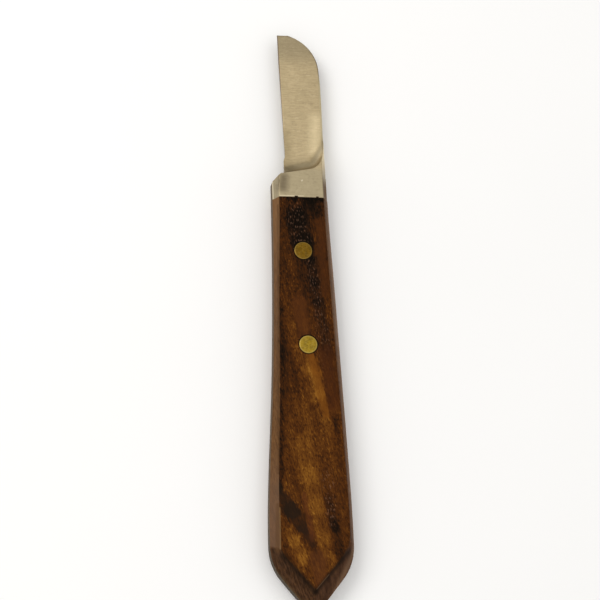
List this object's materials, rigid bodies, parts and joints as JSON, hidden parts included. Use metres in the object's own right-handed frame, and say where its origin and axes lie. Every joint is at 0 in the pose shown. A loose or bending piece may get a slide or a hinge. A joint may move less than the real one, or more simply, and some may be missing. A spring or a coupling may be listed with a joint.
{
  "type": "plaster and bench knife",
  "caption": "Fixed bench knife with a short sheepsfoot steel blade, a thick bolster and a full tang between faceted wooden scales held by flush brass pins.",
  "frame": {"origin": "middle of the underside of the bounding box, on the back face that the knife lies on", "axes": "+Y from the butt to the blade's tip, +X towards the spine, +Z out of the front face"},
  "size_m": [0.0222, 0.165, 0.009],
  "materials": {
    "blade_steel": "satin, finely ground across the blade",
    "handle_wood": "oiled dark rosewood with golden streaks",
    "pin_brass": "ground flush, lightly tarnished"
  },
  "bodies": {
    "root": {"blade": "blade_steel", "front_scale": "handle_wood", "back_scale": "handle_wood", "forward_pin": "pin_brass", "rear_pin": "pin_brass"}
  },
  "joints": []
}
